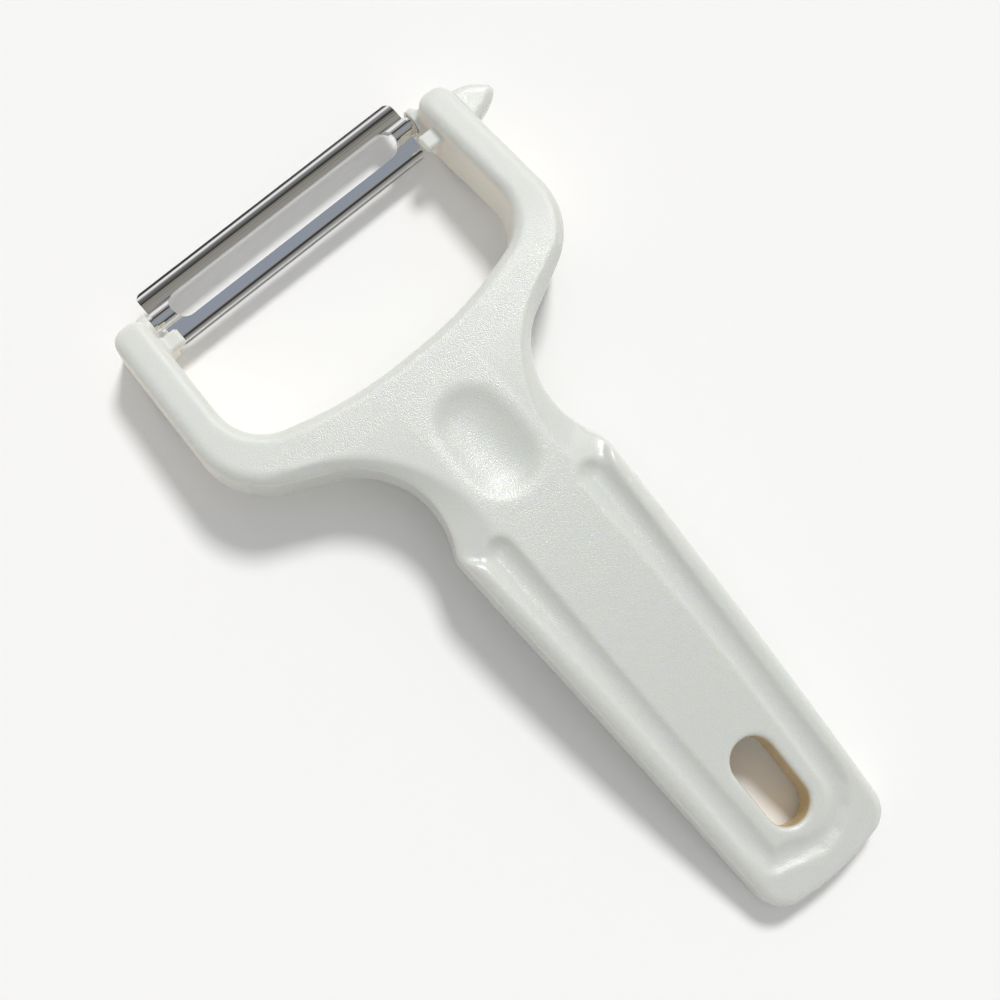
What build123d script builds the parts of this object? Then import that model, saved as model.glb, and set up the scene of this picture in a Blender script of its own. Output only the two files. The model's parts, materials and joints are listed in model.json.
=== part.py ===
from build123d import *
import os

# Vegetable peeler with a forked plastic body and a swivelling slotted blade.
# Lengths are in millimetres. X runs across the handle, Y from the end of the
# handle towards the blade and Z up from the table that the peeler rests on.
# Stations are distances along Y from the handle's end. The origin is the middle
# of the flat rest below that end, so the finished parts are moved back to it.

# Allowances
overrun = 1.0
running_clearance = 0.06
end_float = 0.25

# Body seen from above, as corners of half an outline and their rounding radii.
# A rise is a distance along Y from the shoulders of the handle.
handle_length = 77.9
fork_reach = 63.4
body_length = handle_length + fork_reach
handle_end_flat_half_width = 3.0
handle_end_crown_radius = 30.0
handle_end_half_width = 12.6
handle_end_corner_station = 1.5
handle_end_corner_radius = 5.0
shoulder_half_width = 15.6
shoulder_radius = 2.6
neck_corner_half_width = 7.6
neck_corner_rise = 16.5
neck_radius = 15.5
fork_half_width = 36.5
fork_corner_rise = 30.5
fork_corner_radius = 13.0
arm_lean = 1.4
arm_tip_width = 6.4
arm_tip_outer_radius = 2.7
arm_tip_inner_radius = 2.5
arm_root_width = 6.7
opening_corner_rise = 35.5
opening_corner_radius = 9.0
opening_bottom_width_share = 0.386
opening_bottom_rise = 30.3
opening_bottom_arc_share = 0.84

# Body seen from the side
top_height = 15.6
top_apex_rise = 10.0
handle_end_height = 5.72
underside_rise = 6.3
rest_length = 7.0
top_rounding = 1.8

# Sloping flanks of the neck
flank_raise = 0.2
flank_drop = 2.0
flank_crease_half_width = 7.4
flank_crease_rise = 20.5
flank_crease_radius = 29.0
flank_crease_slope_share = 0.4
flank_crease_setback = 9.9
flank_foot_margin = 0.8
flank_foot_rise = 1.1
flank_foot_slope_share = 0.48
flank_reach_share = 1.23
flank_end_width = 5.0

# Groove that frames the raised panel of the handle
groove_top_half_spacing = 10.2
groove_turn_half_spacing = 8.5
groove_width = 4.4
groove_depth = 0.8
groove_top_setback = 3.6
groove_top_drop = 0.7
groove_turn_station = 13.5
groove_end_station = 5.6
groove_corner_share = 0.72

# Thumb recess
recess_rise = 11.5
recess_length = 20.6
recess_width = 12.6
recess_depth = 1.4
recess_belly = 0.1

# Hang slot
slot_station = 18.8
slot_length = 16.4
slot_width = 7.9
slot_top_rounding = 0.7

# Blade pivot
pivot_setback = 1.1
pivot_height = 5.3
ear_radius = 2.4
ear_length = 0.8
ear_wall = 0.2
trunnion_radius = 1.6
trunnion_length = 1.2

# Stops for the blade
tongue_reach = 3.1
tongue_setback = 8.0
tongue_length = 3.0
tongue_underside_height = 9.0
tongue_thickness = 1.4
tongue_rounding = 0.4
stub_reach = 1.6
stub_length = 2.0
stub_height = 3.4

# Eye remover beside the arm on the +X side
scoop_root_depth = 2.5
scoop_reach = 10.3
scoop_back_setback = 1.3
scoop_back_bend_share = 0.59
scoop_back_bend_drop = 1.0
scoop_back_bend_radius = 5.5
scoop_tip_drop = 4.5
scoop_tip_radius = 1.2
scoop_front_bend_share = 0.62
scoop_front_bend_drop = 6.5
scoop_front_bend_radius = 9.0
scoop_front_drop = 8.4
scoop_bottom_height = 5.2
scoop_top_height = 9.8
scoop_rounding = 1.0

# Blade
sheet_thickness = 0.6
blade_slot_half_width = 2.45
blade_slot_offset = 0.15
blade_slot_end_setback = 3.4
blade_bend_width = 1.7
blade_bend_radius = 3.0
front_strip_half_width = 5.8
rear_strip_half_width = 5.6
flange_drop = 1.1
front_strip_end_play = 0.7
rear_strip_end_play = 0.6
front_strip_corner_radius = 1.2
rear_strip_corner_radius = 1.2
bulge_radius = 2.1
tube_inner_radius = 1.0
tube_setback = 2.3

# Places that follow from the sizes
pivot_station = body_length - pivot_setback
top_apex_station = handle_length + top_apex_rise
top_arch_drop = top_height - handle_end_height
top_arch_radius = (top_apex_station**2 + top_arch_drop**2) / (2 * top_arch_drop)
neck_corner_station = handle_length + neck_corner_rise
arm_tip_half_width = fork_half_width - arm_lean
arm_tip_inner_half_width = arm_tip_half_width - arm_tip_width
ear_face_half_spacing = arm_tip_inner_half_width - ear_length
trunnion_end_half_spacing = ear_face_half_spacing + trunnion_length
tongue_half_spacing = arm_tip_inner_half_width - tongue_reach
stub_half_spacing = arm_tip_inner_half_width - stub_reach
front_strip_half_length = ear_face_half_spacing - front_strip_end_play
rear_strip_half_length = stub_half_spacing - rear_strip_end_play
blade_slot_half_length = front_strip_half_length - blade_slot_end_setback
tube_start_half_spacing = ear_face_half_spacing - tube_setback
flank_reach = flank_reach_share * fork_half_width


def mirrored_face(half_points, radii):
    """Face in the XY plane inside half an outline and its mirror image."""
    half = FilletPolyline(*half_points, radius=radii)
    edges = half.edges() + mirror(half, about=Plane.YZ).edges()
    return make_face(edges)


def body_outline():
    """Forked outline of the body seen from above."""
    opening_half_width = fork_half_width - arm_root_width
    opening_bottom_half_width = opening_bottom_width_share * opening_half_width
    opening_bottom_station = handle_length + opening_bottom_rise
    run = opening_half_width - opening_bottom_half_width
    slope = (opening_corner_rise - opening_bottom_rise) / run
    half_turn_tangent = ((1 + slope**2) ** 0.5 - 1) / slope
    opening_bottom_radius = opening_bottom_arc_share * opening_bottom_half_width / half_turn_tangent
    corners = [
        (0, 0),
        (handle_end_flat_half_width, 0),
        (handle_end_half_width, handle_end_corner_station),
        (shoulder_half_width, handle_length),
        (neck_corner_half_width, neck_corner_station),
        (fork_half_width, handle_length + fork_corner_rise),
        (arm_tip_half_width, body_length),
        (arm_tip_inner_half_width, body_length),
        (opening_half_width, handle_length + opening_corner_rise),
        (opening_bottom_half_width, opening_bottom_station),
        (0, opening_bottom_station),
    ]
    radii = [
        handle_end_crown_radius,
        handle_end_corner_radius,
        shoulder_radius,
        neck_radius,
        fork_corner_radius,
        arm_tip_outer_radius,
        arm_tip_inner_radius,
        opening_corner_radius,
        opening_bottom_radius,
    ]
    return mirrored_face(corners, radii)


def cross_cylinder(radius, station, crown_height):
    """Cylinder lying along X whose crown is at the given station and height."""
    place = Pos(0, station, crown_height - radius) * Rot(0, 90, 0)
    return place * Cylinder(radius, 2 * flank_reach)


def under_arch():
    """Arched hollow below the body that leaves a flat rest at both ends."""
    half_span = body_length / 2 - rest_length
    radius = (half_span**2 + underside_rise**2) / (2 * underside_rise)
    return cross_cylinder(radius, body_length / 2, underside_rise)


def arched_body():
    """Forked plate with an arched top and underside, and rounded rims."""
    prism = extrude(body_outline(), amount=top_height + overrun)
    plate = prism & cross_cylinder(top_arch_radius, top_apex_station, top_height)
    plate = plate - under_arch() - hang_slot_cut()
    plate = fillet(upper_face(plate).outer_wire().edges(), radius=top_rounding)
    slot_rim = upper_face(plate).inner_wires()[0]
    return fillet(slot_rim.edges(), radius=slot_top_rounding)


def upper_face(plate):
    """Arched upper face, which has the largest radius of all."""
    return plate.faces().filter_by(GeomType.CYLINDER).sort_by(lambda face: face.radius)[-1]


def hang_slot_cut():
    """Through slot near the end of the handle."""
    slot = SlotOverall(slot_length, slot_width, rotation=90)
    return Pos(0, slot_station, -overrun) * extrude(slot, amount=top_height + 2 * overrun)


def recess_cut():
    """Shallow round-ended hollow for the thumb."""
    radius = (recess_width**2 / 4 + recess_depth**2) / (2 * recess_depth)
    end = (recess_length - recess_width) / 2
    outline = [
        RadiusArc((0, end + radius), (radius, end), radius),
        ThreePointArc((radius, end), (radius + recess_belly, 0), (radius, -end)),
        RadiusArc((radius, -end), (0, -end - radius), radius),
        Line((0, -end - radius), (0, end + radius)),
    ]
    hollow = revolve(make_face(outline), axis=Axis.Y)
    return Pos(0, handle_length + recess_rise, top_height - recess_depth + radius) * hollow


def flank_cut():
    """Space above the sloping flank on the +X side of the neck."""
    upper = flank_face(
        (flank_crease_half_width, handle_length - flank_crease_setback),
        (flank_crease_half_width, handle_length + flank_crease_rise),
        flank_crease_slope_share,
        flank_crease_radius,
    )
    lower = flank_face(
        (shoulder_half_width + flank_foot_margin, handle_length + flank_foot_rise),
        (neck_corner_half_width, neck_corner_station),
        flank_foot_slope_share,
        neck_radius,
    )
    upper = Pos(0, 0, top_height + flank_raise) * upper
    lower = Pos(0, 0, top_height - flank_drop) * lower
    return loft([upper, lower], ruled=True)


def flank_face(start, corner, slope_share, radius):
    """Face between a flank curve and its far corner beyond the body."""
    far_station = corner[1] + slope_share * (flank_reach - corner[0])
    curve = FilletPolyline(start, corner, (flank_reach, far_station), radius=radius)
    closing = Polyline(curve @ 1, (flank_reach, far_station - flank_end_width), curve @ 0)
    return make_face(curve.edges() + closing.edges())


def groove_cut():
    """Round-bottomed groove along both sides of the panel and round its end."""
    radius = (groove_width**2 / 4 + groove_depth**2) / (2 * groove_depth)
    rise = radius - groove_depth
    top_station = handle_length - groove_top_setback
    turn_length = groove_turn_station - groove_end_station
    top = over_arch(groove_top_half_spacing, top_station, rise - groove_top_drop)
    middle_half_spacing = (groove_top_half_spacing + groove_turn_half_spacing) / 2
    middle = over_arch(middle_half_spacing, (top_station + groove_turn_station) / 2, rise)
    turn = over_arch(groove_turn_half_spacing, groove_turn_station, rise)
    corner_half_spacing = groove_corner_share * groove_turn_half_spacing
    corner_station = groove_turn_station - groove_corner_share * turn_length
    corner = over_arch(corner_half_spacing, corner_station, rise)
    end = over_arch(0, groove_end_station, rise)
    right = ThreePointArc(top, middle, turn)
    left = ThreePointArc(mirror_x(turn), mirror_x(middle), mirror_x(top))
    bend = Spline(
        turn,
        corner,
        end,
        mirror_x(corner),
        mirror_x(turn),
        tangents=(right % 1, left % 0),
    )
    path = Wire(right.edges() + bend.edges() + left.edges())
    section = Plane(origin=path @ 0, z_dir=path % 0) * Circle(radius)
    tips = [Pos(*tip) * Sphere(radius) for tip in (path @ 0, path @ 1)]
    return sweep(section, path=path) + tips


def over_arch(x, station, rise):
    """Point at a station that lies a rise above the arched upper face."""
    arch = top_arch_radius + rise
    height = (arch**2 - (station - top_apex_station) ** 2) ** 0.5
    return Vector(x, station, top_height - top_arch_radius + height)


def mirror_x(point):
    """Mirror image of a point on the other side of the handle."""
    return Vector(-point.X, point.Y, point.Z)


def pivot_ear():
    """Round boss that carries the blade, on the inner face of the +X arm."""
    length = trunnion_length + end_float + ear_wall
    place = Pos(ear_face_half_spacing + length / 2, pivot_station, pivot_height)
    return place * Rot(0, 90, 0) * Cylinder(ear_radius, length)


def pivot_hole():
    """Blind hole for the trunnion in the ear and arm on the +X side."""
    start = ear_face_half_spacing - overrun
    end = trunnion_end_half_spacing + end_float
    place = Pos((start + end) / 2, pivot_station, pivot_height)
    return place * Rot(0, 90, 0) * Cylinder(trunnion_radius + running_clearance, end - start)


def blade_stop():
    """Tongue and the stub below it, on the inner face of the +X arm."""
    root = arm_tip_inner_half_width + overrun
    start = Pos(0, body_length - tongue_setback, tongue_underside_height)
    tongue = Box(
        root - tongue_half_spacing,
        tongue_length,
        tongue_thickness,
        align=(Align.MIN, Align.MIN, Align.MIN),
    )
    stub = Box(
        root - stub_half_spacing,
        stub_length,
        stub_height + tongue_thickness / 2,
        align=(Align.MIN, Align.MIN, Align.MAX),
    )
    tongue = fillet(tongue.edges(), radius=tongue_rounding)
    stub = fillet(stub.edges(), radius=tongue_rounding)
    tongue = Pos(tongue_half_spacing, 0, 0) * tongue
    stub = Pos(stub_half_spacing, 0, tongue_thickness / 2) * stub
    return start * (tongue + stub)


def eye_remover():
    """Leaf-shaped scoop that stands out from the arm on the +X side."""
    root = arm_tip_half_width - scoop_root_depth
    back = body_length - scoop_back_setback
    outline = FilletPolyline(
        (root, back),
        (root + scoop_back_bend_share * scoop_reach, back - scoop_back_bend_drop),
        (root + scoop_reach, back - scoop_tip_drop),
        (root + scoop_front_bend_share * scoop_reach, back - scoop_front_bend_drop),
        (root, back - scoop_front_drop),
        radius=(scoop_back_bend_radius, scoop_tip_radius, scoop_front_bend_radius),
    )
    closing = Line(outline @ 1, outline @ 0)
    leaf = Pos(0, 0, scoop_bottom_height) * make_face(outline.edges() + closing.edges())
    leaf = extrude(leaf, amount=scoop_top_height - scoop_bottom_height)
    return fillet(leaf.faces().sort_by(Axis.Z)[-1].edges(), radius=scoop_rounding)


def body():
    """Handle, neck and fork moulded in one piece."""
    solid = arched_body()
    flank = flank_cut()
    solid = solid - flank - mirror(flank, about=Plane.YZ)
    solid = solid - groove_cut() - recess_cut()
    for part in (pivot_ear(), blade_stop()):
        solid = solid + part + mirror(part, about=Plane.YZ)
    solid = solid + eye_remover()
    hole = pivot_hole()
    return solid - hole - mirror(hole, about=Plane.YZ)


def strip(half_length, half_width, corner_radius):
    """Blade plate on the +Y side of the pivot, bent down along its outer edge."""
    half = sheet_thickness / 2
    bend = half_width - blade_bend_width
    upper = FilletPolyline(
        (0, half),
        (bend, half),
        (half_width, half - flange_drop),
        radius=blade_bend_radius + sheet_thickness,
    )
    lower = FilletPolyline(
        (half_width, -half - flange_drop),
        (bend, -half),
        (0, -half),
        radius=blade_bend_radius,
    )
    ends = [Line(upper @ 1, lower @ 0), Line(lower @ 1, upper @ 0)]
    section = make_face(upper.edges() + lower.edges() + ends)
    bar = extrude(Plane.YZ * section, amount=half_length, both=True)
    plan = FilletPolyline(
        (half_length, 0),
        (half_length, half_width),
        (-half_length, half_width),
        (-half_length, 0),
        radius=corner_radius,
    )
    plan_face = make_face(plan.edges() + Line(plan @ 1, plan @ 0).edges())
    return bar & extrude(plan_face, amount=half_width, both=True)


def bulge():
    """Half-round rib over the pivot axis at the blade's +X end."""
    length = blade_slot_end_setback + blade_slot_half_width
    bar = Rot(0, 90, 0) * Cylinder(bulge_radius, 2 * length)
    above = Box(length, 2 * bulge_radius, bulge_radius, align=(Align.MAX, Align.CENTER, Align.MIN))
    sunk = Pos(0, 0, trunnion_radius - bulge_radius) * bar
    return Pos(front_strip_half_length, 0, 0) * (sunk & above)


def trunnion():
    """Rolled tube on the pivot axis on the +X side."""
    length = trunnion_end_half_spacing - tube_start_half_spacing
    return Pos(tube_start_half_spacing + length / 2, 0, 0) * Rot(0, 90, 0) * Cylinder(trunnion_radius, length)


def bore():
    """Hollow inside the rolled tube and the bulge on the +X side."""
    start = blade_slot_half_length - blade_slot_half_width - overrun
    length = trunnion_end_half_spacing + overrun - start
    return Pos(start + length / 2, 0, 0) * Rot(0, 90, 0) * Cylinder(tube_inner_radius, length)


def blade():
    """Slotted steel blade with its two trunnions."""
    front = strip(front_strip_half_length, front_strip_half_width, front_strip_corner_radius)
    rear = Rot(0, 0, 180) * strip(rear_strip_half_length, rear_strip_half_width, rear_strip_corner_radius)
    end = bulge() + trunnion()
    solid = front + rear + end + mirror(end, about=Plane.YZ)
    solid = solid - bore() - mirror(bore(), about=Plane.YZ)
    slot = SlotOverall(2 * blade_slot_half_length, 2 * blade_slot_half_width)
    slot = Pos(0, -blade_slot_offset, 0) * slot
    solid = solid - extrude(slot, amount=front_strip_half_width, both=True)
    return Pos(0, pivot_station, pivot_height) * solid


os.makedirs("parts", exist_ok=True)
for name, shape in (("body", body()), ("blade", blade())):
    export_step(Pos(0, -rest_length / 2, 0) * shape, f"parts/{name}.step")
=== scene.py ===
"""Vegetable peeler: an ivory plastic handle and fork with a swinging blade of polished steel.

The frame holds the shapes and the hinge. This file adds the finishes, the floor, the light and the camera.
Lengths are in metres; Y runs from the handle's end to the blade and Z is up.
"""

import json
import math

import bmesh
import bpy
from bpy.props import FloatProperty, FloatVectorProperty, IntProperty, PointerProperty
from bpy.types import NodeSocket, Operator, Panel, PropertyGroup
from mathutils import Euler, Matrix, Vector


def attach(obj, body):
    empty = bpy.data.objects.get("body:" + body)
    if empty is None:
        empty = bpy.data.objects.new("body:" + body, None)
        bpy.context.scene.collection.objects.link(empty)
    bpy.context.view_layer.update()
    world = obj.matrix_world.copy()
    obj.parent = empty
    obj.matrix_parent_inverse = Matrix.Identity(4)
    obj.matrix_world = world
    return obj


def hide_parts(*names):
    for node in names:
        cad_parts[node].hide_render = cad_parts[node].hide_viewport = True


bl_info = {
    "name": "Vegetable peeler",
    "version": (1, 0, 0),
    "blender": (4, 5, 0),
    "location": "3D view, sidebar, Peeler",
    "description": "Finishes for a plastic peeler with a swinging steel blade",
    "category": "Object",
}

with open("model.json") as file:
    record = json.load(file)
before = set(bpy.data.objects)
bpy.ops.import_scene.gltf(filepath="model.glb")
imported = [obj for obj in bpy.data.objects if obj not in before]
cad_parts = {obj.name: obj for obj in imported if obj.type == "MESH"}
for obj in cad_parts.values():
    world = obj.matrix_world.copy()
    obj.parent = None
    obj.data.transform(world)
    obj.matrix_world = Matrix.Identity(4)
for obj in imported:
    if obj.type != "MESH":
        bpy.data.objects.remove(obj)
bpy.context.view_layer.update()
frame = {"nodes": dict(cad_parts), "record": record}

MM = 0.001
MERGE_DISTANCE = 0.0005 * MM

# Mesh of the moulding, and how many times the common rounds of smoothing its soft places get
MOULD_VOXEL = 0.4 * MM
DISH_ROUNDS = 12
SHOULDER_ROUNDS = 12
SCOOP_ROUNDS = 8

# Places on the moulding: X from the middle, Y from the frame's origin, Z from the table
STOP_INNER = 24.0 * MM
STOP_OUTER = 30.0 * MM
STOP_REACH = 8.0 * MM
DISH_CENTRE = 85.9 * MM
DISH_HALF_WIDTH = 8.2 * MM
DISH_HALF_LENGTH = 12.2 * MM
DISH_LOWEST = 11.0 * MM
SHOULDER_INNER = 11.8 * MM
SHOULDER_CENTRE = 72.0 * MM
SHOULDER_REACH = 5.5 * MM
SHOULDER_LOWEST = 6.0 * MM
SCOOP_INNER = 36.2 * MM
SCOOP_START = 126.0 * MM
SOCKET_FACE = 27.5 * MM
SOCKET_END = 29.2 * MM
SOCKET_RADIUS = 1.75 * MM
HANG_SLOT_HALF_WIDTH = 5.0 * MM
HANG_SLOT_START = 6.0 * MM
HANG_SLOT_END = 24.5 * MM

# Where the finish of the moulding changes, each from a low to a high value
ARM_ALONG = (102.0 * MM, 114.0 * MM)
FLANK_ACROSS = (7.6 * MM, 8.6 * MM)
FLANK_START = (60.0 * MM, 68.0 * MM)
FLANK_END = (96.0 * MM, 101.0 * MM)
STEEPNESS = (-0.75, 0.1)
GLOSSY_SCOOP_INNER = 35.0 * MM
GLOSSY_SCOOP_START = 128.0 * MM
GRAIN_LOST = 0.5
FLANK_SHARE = 0.9
# Share of the painted bounce light that the handle's steep walls get; the arms get all of it
HANDLE_PAINTED_BOUNCE_SHARE = 0.2

# The strips' sections, in millimetres and degrees: slope of the steel at each distance from the hinge
FRONT_SLOPES = (
    (0.0, 0.0),
    (2.3, 2.0),
    (3.6, 4.5),
    (3.8, 9.5),
    (4.25, 12.0),
    (4.4, 17.0),
    (4.8, 19.0),
    (5.0, 38.0),
    (5.25, 38.0),
    (5.35, 12.0),
    (5.8, 10.0),
)
REAR_SLOPES = (
    (0.0, 0.0),
    (2.6, 3.0),
    (4.15, 5.0),
    (4.4, 25.0),
    (4.65, 28.0),
    (4.8, 32.0),
    (5.1, 33.0),
    (5.2, 46.0),
    (5.4, 48.0),
    (5.45, 28.0),
    (5.6, 28.0),
)

# The same for the plain bends of the solid
SOLID_FRONT_SLOPES = ((0.0, 0.0), (3.13, 0.0), (4.92, 32.9), (5.8, 32.9))
SOLID_REAR_SLOPES = ((0.0, 0.0), (2.93, 0.0), (4.72, 32.9), (5.6, 32.9))
PRESS_START = 2.2
CUT_STEP = 0.1
FRONT_CUTS = 36
REAR_CUTS = 34
DROP_STEPS = 80
CUT_TOLERANCE = 0.0001 * MM
FLAT_ANGLE = math.radians(0.5)
SHARP_ANGLE = math.radians(30.0)

# Where the light comes from, and its colour
LAMP_SIDE = (0.575, 0.46, 1.0)
LAMP_COLOUR = (1.0, 0.995, 0.985)

# What shiny surfaces see, from the horizon at 0 to straight up at 1
ROOM_LEVELS = (
    (0.0, (1.0, 1.0, 1.0)),
    (0.2, (1.1, 1.1, 1.1)),
    (0.38, (0.5, 0.5, 0.5)),
    (0.62, (0.36, 0.36, 0.37)),
    (0.7, (0.05, 0.05, 0.045)),
    (0.8, (0.06, 0.058, 0.05)),
    (0.87, (0.31, 0.295, 0.265)),
    (0.92, (0.34, 0.325, 0.3)),
    (0.95, (0.33, 0.36, 0.41)),
    (1.0, (0.33, 0.37, 0.44)),
)


class PeelerFinish(PropertyGroup):
    """Colours and grain of the plastic and the steel, with the painted bounce light and painted shade for
    the plastic's steep walls.
    """

    ivory: FloatVectorProperty(
        name="Ivory",
        description="Colour of the plastic moulding",
        subtype="COLOR",
        size=3,
        min=0.0,
        max=1.0,
        default=(0.705, 0.725, 0.695),
    )
    # Painted bounce light: a lighter, warmer colour laid on the steep walls, where the lamp's shade falls,
    # in place of light bounced from the floor and glowing through the plastic
    painted_bounce_ivory: FloatVectorProperty(
        name="Painted bounce light",
        description="Colour that the plastic takes on in its walls",
        subtype="COLOR",
        size=3,
        min=0.0,
        max=1.0,
        default=(0.88, 0.83, 0.74),
    )
    # Painted shade: a darker, brownish colour laid on the steep walls inside the hang slot, where shade
    # falls
    painted_slot_shade_ivory: FloatVectorProperty(
        name="Painted slot shade",
        description="Colour that the plastic takes on inside the hang slot",
        subtype="COLOR",
        size=3,
        min=0.0,
        max=1.0,
        default=(0.68, 0.52, 0.28),
    )
    steel: FloatVectorProperty(
        name="Steel",
        description="Colour of the polished blade",
        subtype="COLOR",
        size=3,
        min=0.0,
        max=1.0,
        default=(0.78, 0.78, 0.78),
    )
    tint_spread: FloatProperty(
        name="Tint spread",
        description="Share by which single grains are darker or lighter than the plastic",
        min=0.0,
        max=1.0,
        default=0.03,
    )
    grain_size: FloatProperty(
        name="Grain size",
        description="Distance between the grains of the moulded texture",
        subtype="DISTANCE",
        unit="LENGTH",
        min=0.0001,
        default=0.2 * MM,
    )
    grain_depth: FloatProperty(
        name="Grain depth",
        description="Height of the grains of the moulded texture",
        subtype="DISTANCE",
        unit="LENGTH",
        min=0.0,
        default=0.07 * MM,
    )
    mould_softness: IntProperty(
        name="Mould softness",
        description="Rounds of smoothing that soften the moulded edges",
        min=0,
        default=1,
    )


class PeelerStage(PropertyGroup):
    """Floor, light and camera."""

    floor_colour: FloatVectorProperty(
        name="Floor",
        description="Colour of the floor",
        subtype="COLOR",
        size=3,
        min=0.0,
        max=1.0,
        default=(0.965, 0.965, 0.965),
    )
    floor_width: FloatProperty(
        name="Floor width",
        description="Side of the square floor",
        subtype="DISTANCE",
        unit="LENGTH",
        default=6.0,
    )
    lamp_strength: FloatProperty(
        name="Lamp strength",
        description="Light that the lamp throws on a surface turned to it",
        min=0.0,
        default=1.88,
    )
    lamp_width: FloatProperty(
        name="Lamp width",
        description="Angle that the lamp fills, which softens the shadow's edge",
        subtype="ANGLE",
        unit="ROTATION",
        default=math.radians(13.0),
    )
    room_light: FloatProperty(
        name="Room light",
        description="Level of the light from all round",
        min=0.0,
        default=0.48,
    )
    camera_place: FloatVectorProperty(
        name="Camera place",
        description="Where the camera stands",
        subtype="TRANSLATION",
        unit="LENGTH",
        size=3,
        default=(-0.04703, 0.06084, 0.26156),
    )
    camera_turn: FloatVectorProperty(
        name="Camera turn",
        description="How the camera is turned",
        subtype="EULER",
        unit="ROTATION",
        size=3,
        default=(math.radians(9.234), math.radians(-4.970), math.radians(-40.776)),
    )
    lens: FloatProperty(
        name="Lens",
        description="Focal length in millimetres on a sensor 36 mm wide",
        default=57.02,
    )


def new_material(name):
    """An empty node material with its shader and output."""
    material = bpy.data.materials.new(name)
    material.use_nodes = True
    tree = material.node_tree
    tree.nodes.clear()
    output = tree.nodes.new("ShaderNodeOutputMaterial")
    shader = tree.nodes.new("ShaderNodeBsdfPrincipled")
    tree.links.new(shader.outputs["BSDF"], output.inputs["Surface"])
    return material, tree, shader


def set_inputs(node, values):
    """Set sockets of a node by their names."""
    for name, value in values.items():
        node.inputs[name].default_value = value


def point_value(tree, name):
    """The value that the mesh holds on each point under a name."""
    node = tree.nodes.new("ShaderNodeAttribute")
    node.attribute_name = name
    return node.outputs["Fac"]


def object_place(tree):
    """Where a surface point lies in its object."""
    return tree.nodes.new("ShaderNodeTexCoord").outputs["Object"]


def blend(tree, factor, first, second):
    """Mix of two colours, each a plain colour or a socket."""
    mix = tree.nodes.new("ShaderNodeMix")
    mix.data_type = "RGBA"
    tree.links.new(factor, mix.inputs["Factor"])
    for name, colour in (("A", first), ("B", second)):
        if isinstance(colour, NodeSocket):
            tree.links.new(colour, mix.inputs[name])
        else:
            mix.inputs[name].default_value = (*colour, 1.0)
    return mix.outputs["Result"]


def rough_up(tree, shader, height, strength, distance):
    """Tilt the shader's normal by a height."""
    bump = tree.nodes.new("ShaderNodeBump")
    set_inputs(bump, {"Strength": strength, "Distance": distance})
    tree.links.new(height, bump.inputs["Height"])
    tree.links.new(bump.outputs["Normal"], shader.inputs["Normal"])


def ivory_plastic(finish):
    """Moulded plastic: sparkling grain on the flats, satin on the slopes, painted bounce light on the
    steep walls and painted shade in the hang slot.
    """
    material, tree, shader = new_material("ivory_plastic")
    nodes, links = tree.nodes, tree.links
    grain = nodes.new("ShaderNodeTexNoise")
    set_inputs(grain, {"Scale": 1.0 / finish.grain_size, "Detail": 2.0, "Roughness": 0.55})
    links.new(object_place(tree), grain.inputs["Vector"])
    height = nodes.new("ShaderNodeMath")
    height.operation = "MULTIPLY"
    links.new(grain.outputs["Fac"], height.inputs[0])
    links.new(point_value(tree, "grain"), height.inputs[1])
    rough_up(tree, shader, height.outputs["Value"], 1.0, finish.grain_depth)
    speckle = nodes.new("ShaderNodeMapRange")
    set_inputs(speckle, {"From Min": 0.3, "From Max": 0.7, "To Min": 0.0, "To Max": 1.0})
    links.new(grain.outputs["Fac"], speckle.inputs["Value"])
    dark = [(1.0 - finish.tint_spread) * c for c in finish.ivory]
    light = [(1.0 + finish.tint_spread) * c for c in finish.ivory]
    tint = blend(tree, speckle.outputs["Result"], dark, light)
    # Painted bounce light: the steep walls get a lighter, warmer colour
    with_painted_bounce = blend(tree, point_value(tree, "painted_bounce"), tint, finish.painted_bounce_ivory)
    # Painted shade: the hang slot's steep walls get a darker, brownish colour
    with_painted_shade = blend(tree, point_value(tree, "painted_slot_shade"), with_painted_bounce, finish.painted_slot_shade_ivory)
    links.new(with_painted_shade, shader.inputs["Base Color"])
    gloss = nodes.new("ShaderNodeMapRange")
    set_inputs(gloss, {"To Min": 0.24, "To Max": 0.5})
    links.new(point_value(tree, "arm"), gloss.inputs["Value"])
    links.new(gloss.outputs["Result"], shader.inputs["Roughness"])
    set_inputs(
        shader,
        {
            "Specular IOR Level": 0.85,
            "Subsurface Weight": 0.5,
            "Subsurface Radius": (1.0, 0.8, 0.5),
            "Subsurface Scale": 1.8 * MM,
        },
    )
    return material


def polished_steel(finish):
    """Polished sheet steel with faint marks along the strip."""
    material, tree, shader = new_material("polished_steel")
    nodes, links = tree.nodes, tree.links
    along = nodes.new("ShaderNodeMapping")
    set_inputs(along, {"Scale": (1.0, 40.0, 40.0)})
    links.new(object_place(tree), along.inputs["Vector"])
    marks = nodes.new("ShaderNodeTexNoise")
    set_inputs(marks, {"Scale": 160.0, "Detail": 3.0})
    links.new(along.outputs["Vector"], marks.inputs["Vector"])
    rough_up(tree, shader, marks.outputs["Fac"], 0.1, 0.01 * MM)
    set_inputs(shader, {"Base Color": (*finish.steel, 1.0), "Metallic": 1.0, "Roughness": 0.06})
    return material


def join_triangles(work):
    """Join the loose triangles of a solid's mesh into a closed surface."""
    bmesh.ops.remove_doubles(work, verts=work.verts, dist=MERGE_DISTANCE)
    bmesh.ops.recalc_face_normals(work, faces=work.faces)


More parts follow.
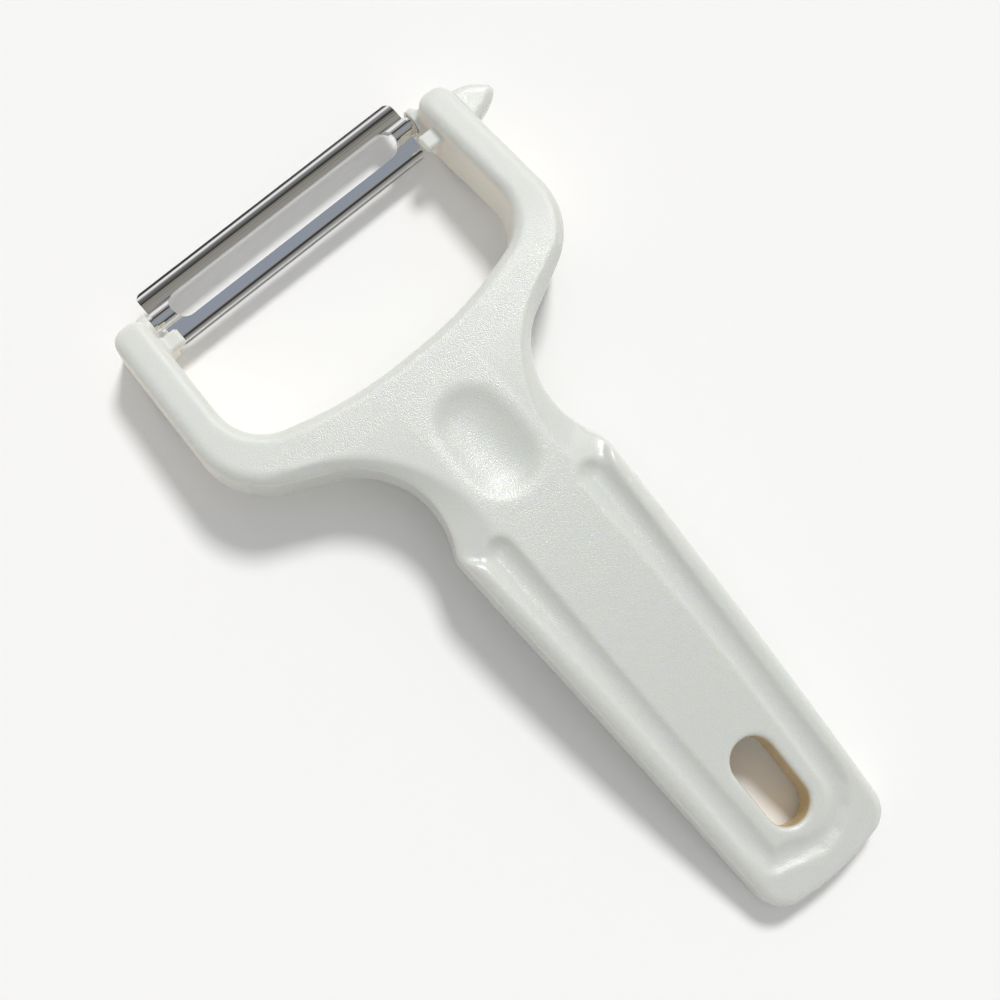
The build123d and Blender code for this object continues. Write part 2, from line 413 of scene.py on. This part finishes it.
def remeshed(node, name, voxel):
    """Even mesh of a node's solid as a new object."""
    mesh = frame["nodes"][node].data.copy()
    work = bmesh.new()
    work.from_mesh(mesh)
    join_triangles(work)
    work.to_mesh(mesh)
    work.free()
    piece = bpy.data.objects.new(name, mesh)
    bpy.context.scene.collection.objects.link(piece)
    modifier = piece.modifiers.new("even", "REMESH")
    modifier.mode = "VOXEL"
    modifier.voxel_size = voxel
    modifier.use_smooth_shade = True
    graph = bpy.context.evaluated_depsgraph_get()
    even = bpy.data.meshes.new_from_object(piece.evaluated_get(graph))
    piece.modifiers.clear()
    piece.data = even
    bpy.data.meshes.remove(mesh)
    even.name = name
    return piece


def soften(work, rounds, chosen):
    """Smooth the chosen points for a number of rounds."""
    points = [v for v in work.verts if chosen(v.co)]
    for _ in range(rounds):
        bmesh.ops.smooth_vert(
            work, verts=points, factor=0.5, use_axis_x=True, use_axis_y=True, use_axis_z=True
        )


def ramp(value, low, high):
    """Smooth step from 0 at low to 1 at high."""
    t = min(max((value - low) / (high - low), 0.0), 1.0)
    return t * t * (3.0 - 2.0 * t)


def swing_centre():
    """Where the blade's axis crosses the middle of the peeler."""
    return Vector(frame["record"]["behaviour"]["joints"][0]["pos_m"])


def off_stop(co):
    """Whether a point lies away from the small shapes that hold and stop the blade."""
    return not (STOP_INNER < abs(co.x) < STOP_OUTER and co.y > swing_centre().y - STOP_REACH)


def in_dish(co):
    """Whether a point lies in or round the thumb recess."""
    in_length = abs(co.y - DISH_CENTRE) < DISH_HALF_LENGTH
    return abs(co.x) < DISH_HALF_WIDTH and in_length and co.z > DISH_LOWEST


def at_shoulder(co):
    """Whether a point lies where the neck's flank runs into the rails."""
    in_length = abs(co.y - SHOULDER_CENTRE) < SHOULDER_REACH
    return abs(co.x) > SHOULDER_INNER and in_length and co.z > SHOULDER_LOWEST


def on_scoop(co):
    """Whether a point lies on the eye remover."""
    return co.x > SCOOP_INNER and co.y > SCOOP_START


def clear_sockets(work):
    """Keep the blade's sockets wide enough for its pins."""
    centre = swing_centre()
    for v in work.verts:
        across = Vector((0.0, v.co.y - centre.y, v.co.z - centre.z))
        if SOCKET_FACE < abs(v.co.x) < SOCKET_END and across.length < SOCKET_RADIUS:
            across = across.normalized() * SOCKET_RADIUS
            v.co.y = centre.y + across.y
            v.co.z = centre.z + across.z


def mark_surface(mesh):
    """Record on each point how much grain it has, how far it is arm, and how much painted bounce light and
    painted slot shade go into its colour.
    """
    grain, painted_bounce, arms, painted_slot_shade = (
        mesh.attributes.new(name, "FLOAT", "POINT") for name in ("grain", "painted_bounce", "arm", "painted_slot_shade")
    )
    for v in mesh.vertices:
        arm = ramp(v.co.y, *ARM_ALONG)
        if v.co.x > GLOSSY_SCOOP_INNER and v.co.y > GLOSSY_SCOOP_START:
            arm = 0.0
        flank = ramp(abs(v.co.x), *FLANK_ACROSS) * ramp(v.co.y, *FLANK_START)
        flank *= 1.0 - ramp(v.co.y, *FLANK_END)
        steep = ramp(-v.normal.z, *STEEPNESS)
        in_length = HANG_SLOT_START < v.co.y < HANG_SLOT_END
        in_slot = abs(v.co.x) < HANG_SLOT_HALF_WIDTH and in_length
        # Steep walls get painted bounce light, the handle's less than the arms'
        painted_bounce_share = HANDLE_PAINTED_BOUNCE_SHARE + (1.0 - HANDLE_PAINTED_BOUNCE_SHARE) * arm
        grain.data[v.index].value = 1.0 - GRAIN_LOST * max(arm, FLANK_SHARE * flank)
        arms.data[v.index].value = arm
        # Steep walls inside the hang slot get painted shade
        painted_slot_shade.data[v.index].value = steep if in_slot else 0.0
        painted_bounce.data[v.index].value = painted_bounce_share * steep


class PEELER_OT_body(Operator):
    """Build the softened moulding and finish it"""

    bl_idname = "peeler.body"
    bl_label = "Body"

    def execute(self, context):
        finish = context.scene.peeler_finish
        piece = remeshed("body", "moulding", MOULD_VOXEL)
        work = bmesh.new()
        work.from_mesh(piece.data)
        soften(work, finish.mould_softness, off_stop)
        soften(work, DISH_ROUNDS * finish.mould_softness, in_dish)
        soften(work, SHOULDER_ROUNDS * finish.mould_softness, at_shoulder)
        soften(work, SCOOP_ROUNDS * finish.mould_softness, on_scoop)
        clear_sockets(work)
        work.to_mesh(piece.data)
        work.free()
        mark_surface(piece.data)
        piece.data.materials.clear()
        piece.data.materials.append(ivory_plastic(finish))
        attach(piece, "handle")
        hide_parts("body")
        return {"FINISHED"}


def slope_at(slopes, distance):
    """Slope of a section at a distance from the hinge."""
    for (d0, a0), (d1, a1) in zip(slopes, slopes[1:]):
        if distance <= d1:
            return a0 + (a1 - a0) * (distance - d0) / (d1 - d0)
    return slopes[-1][1]


def drop(slopes, distance):
    """How far a section with the given slopes has dropped at a distance."""
    step = distance / DROP_STEPS
    rises = (math.tan(math.radians(slope_at(slopes, (i + 0.5) * step))) for i in range(DROP_STEPS))
    return step * sum(rises)


def cut_across(work, places):
    """Cut the mesh along X at the given places in Y."""
    for place in places:
        geometry = work.verts[:] + work.edges[:] + work.faces[:]
        bmesh.ops.bisect_plane(
            work, geom=geometry, dist=CUT_TOLERANCE, plane_co=(0.0, place, 0.0), plane_no=(0.0, 1.0, 0.0)
        )


def press(work, centre):
    """Give the strips their pressed section by moving points up or down."""
    for v in work.verts:
        across = (v.co.y - centre.y) / MM
        if across > PRESS_START:
            v.co.z += MM * (drop(SOLID_FRONT_SLOPES, across) - drop(FRONT_SLOPES, across))
        elif across < -PRESS_START:
            v.co.z += MM * (drop(SOLID_REAR_SLOPES, -across) - drop(REAR_SLOPES, -across))


class PEELER_OT_blade(Operator):
    """Build the pressed steel blade and finish it"""

    bl_idname = "peeler.blade"
    bl_label = "Blade"

    def execute(self, context):
        finish = context.scene.peeler_finish
        centre = swing_centre()
        work = bmesh.new()
        work.from_mesh(frame["nodes"]["blade"].data)
        join_triangles(work)
        bmesh.ops.dissolve_limit(work, angle_limit=FLAT_ANGLE, verts=work.verts[:], edges=work.edges[:])
        places = [centre.y + MM * (PRESS_START + CUT_STEP * i) for i in range(FRONT_CUTS)]
        places += [centre.y - MM * (PRESS_START + CUT_STEP * i) for i in range(REAR_CUTS)]
        cut_across(work, places)
        press(work, centre)
        bmesh.ops.triangulate(work, faces=work.faces[:])
        for face in work.faces:
            face.smooth = True
        for edge in work.edges:
            if edge.calc_face_angle(0.0) > SHARP_ANGLE:
                edge.smooth = False
        mesh = bpy.data.meshes.new("blade_strip")
        work.to_mesh(mesh)
        work.free()
        piece = bpy.data.objects.new("blade_strip", mesh)
        context.scene.collection.objects.link(piece)
        mesh.materials.append(polished_steel(finish))
        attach(piece, "blade")
        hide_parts("blade")
        return {"FINISHED"}


def floor_sheet(stage):
    """Lay the floor."""
    mesh = bpy.data.meshes.new("floor")
    work = bmesh.new()
    bmesh.ops.create_grid(work, x_segments=1, y_segments=1, size=stage.floor_width / 2)
    work.to_mesh(mesh)
    work.free()
    floor = bpy.data.objects.new("floor", mesh)
    bpy.context.scene.collection.objects.link(floor)
    material, _, shader = new_material("floor_white")
    set_inputs(
        shader,
        {"Base Color": (*stage.floor_colour, 1.0), "Roughness": 0.8, "Specular IOR Level": 0.2},
    )
    mesh.materials.append(material)


def background(tree, colour):
    """Light from all round in one colour."""
    node = tree.nodes.new("ShaderNodeBackground")
    node.inputs["Color"].default_value = (*colour, 1.0)
    return node


def choose(tree, factor, first, second):
    """The first light, or the second where the factor is 1."""
    mix = tree.nodes.new("ShaderNodeMixShader")
    tree.links.new(factor, mix.inputs["Fac"])
    tree.links.new(first, mix.inputs[1])
    tree.links.new(second, mix.inputs[2])
    return mix.outputs["Shader"]


def room(stage):
    """Plain light for matt surfaces, a studio for shiny ones and white behind the floor."""
    world = bpy.data.worlds.new("room")
    bpy.context.scene.world = world
    world.use_nodes = True
    tree = world.node_tree
    tree.nodes.clear()
    nodes, links = tree.nodes, tree.links
    output = nodes.new("ShaderNodeOutputWorld")
    path = nodes.new("ShaderNodeLightPath")
    split = nodes.new("ShaderNodeSeparateXYZ")
    links.new(nodes.new("ShaderNodeTexCoord").outputs["Generated"], split.inputs["Vector"])
    height = nodes.new("ShaderNodeValToRGB")
    levels = height.color_ramp.elements
    for place, colour in ROOM_LEVELS[1:-1]:
        levels.new(place).color = (*colour, 1.0)
    levels[0].color = (*ROOM_LEVELS[0][1], 1.0)
    levels[-1].color = (*ROOM_LEVELS[-1][1], 1.0)
    links.new(split.outputs["Z"], height.inputs["Fac"])
    plain = background(tree, (1.0, 1.0, 0.99))
    plain.inputs["Strength"].default_value = stage.room_light
    studio = nodes.new("ShaderNodeBackground")
    links.new(height.outputs["Color"], studio.inputs["Color"])
    white = background(tree, (1.0, 1.0, 1.0))
    shiny = nodes.new("ShaderNodeMath")
    shiny.operation = "MAXIMUM"
    links.new(path.outputs["Is Glossy Ray"], shiny.inputs[0])
    links.new(path.outputs["Is Transmission Ray"], shiny.inputs[1])
    lit = choose(tree, shiny.outputs["Value"], plain.outputs["Background"], studio.outputs["Background"])
    seen = choose(tree, path.outputs["Is Camera Ray"], lit, white.outputs["Background"])
    links.new(seen, output.inputs["Surface"])


class PEELER_OT_stage(Operator):
    """Set up the floor, the light and the camera"""

    bl_idname = "peeler.stage"
    bl_label = "Stage"

    def execute(self, context):
        stage = context.scene.peeler_stage
        floor_sheet(stage)
        room(stage)
        lamp_data = bpy.data.lights.new("lamp", "SUN")
        lamp_data.energy = stage.lamp_strength
        lamp_data.angle = stage.lamp_width
        lamp_data.color = LAMP_COLOUR
        lamp = bpy.data.objects.new("lamp", lamp_data)
        lamp.rotation_euler = Vector(LAMP_SIDE).to_track_quat("Z", "Y").to_euler()
        context.scene.collection.objects.link(lamp)
        camera_data = bpy.data.cameras.new("camera")
        camera_data.lens = stage.lens
        camera_data.sensor_width = 36.0
        camera_data.clip_start = 5.0 * MM
        camera = bpy.data.objects.new("camera", camera_data)
        camera.location = stage.camera_place
        camera.rotation_euler = Euler(stage.camera_turn)
        context.scene.collection.objects.link(camera)
        context.scene.camera = camera
        context.scene.view_settings.view_transform = "Standard"
        return {"FINISHED"}


class PEELER_PT_sidebar(Panel):
    """Lists the pieces of the peeler and their settings"""

    bl_idname = "PEELER_PT_sidebar"
    bl_label = "Vegetable peeler"
    bl_space_type = "VIEW_3D"
    bl_region_type = "UI"
    bl_category = "Peeler"

    def draw(self, context):
        for group, operators in (
            (context.scene.peeler_finish, (PEELER_OT_body, PEELER_OT_blade)),
            (context.scene.peeler_stage, (PEELER_OT_stage,)),
        ):
            column = self.layout.column()
            for key in group.__annotations__:
                column.prop(group, key)
            for operator in operators:
                column.operator(operator.bl_idname)


CLASSES = (
    PeelerFinish,
    PeelerStage,
    PEELER_OT_body,
    PEELER_OT_blade,
    PEELER_OT_stage,
    PEELER_PT_sidebar,
)


def register():
    for item in CLASSES:
        bpy.utils.register_class(item)
    bpy.types.Scene.peeler_finish = PointerProperty(type=PeelerFinish)
    bpy.types.Scene.peeler_stage = PointerProperty(type=PeelerStage)


def unregister():
    del bpy.types.Scene.peeler_stage
    del bpy.types.Scene.peeler_finish
    for item in reversed(CLASSES):
        bpy.utils.unregister_class(item)


def main():
    register()
    bpy.ops.peeler.body()
    bpy.ops.peeler.blade()
    bpy.ops.peeler.stage()


if __name__ == "__main__":
    main()
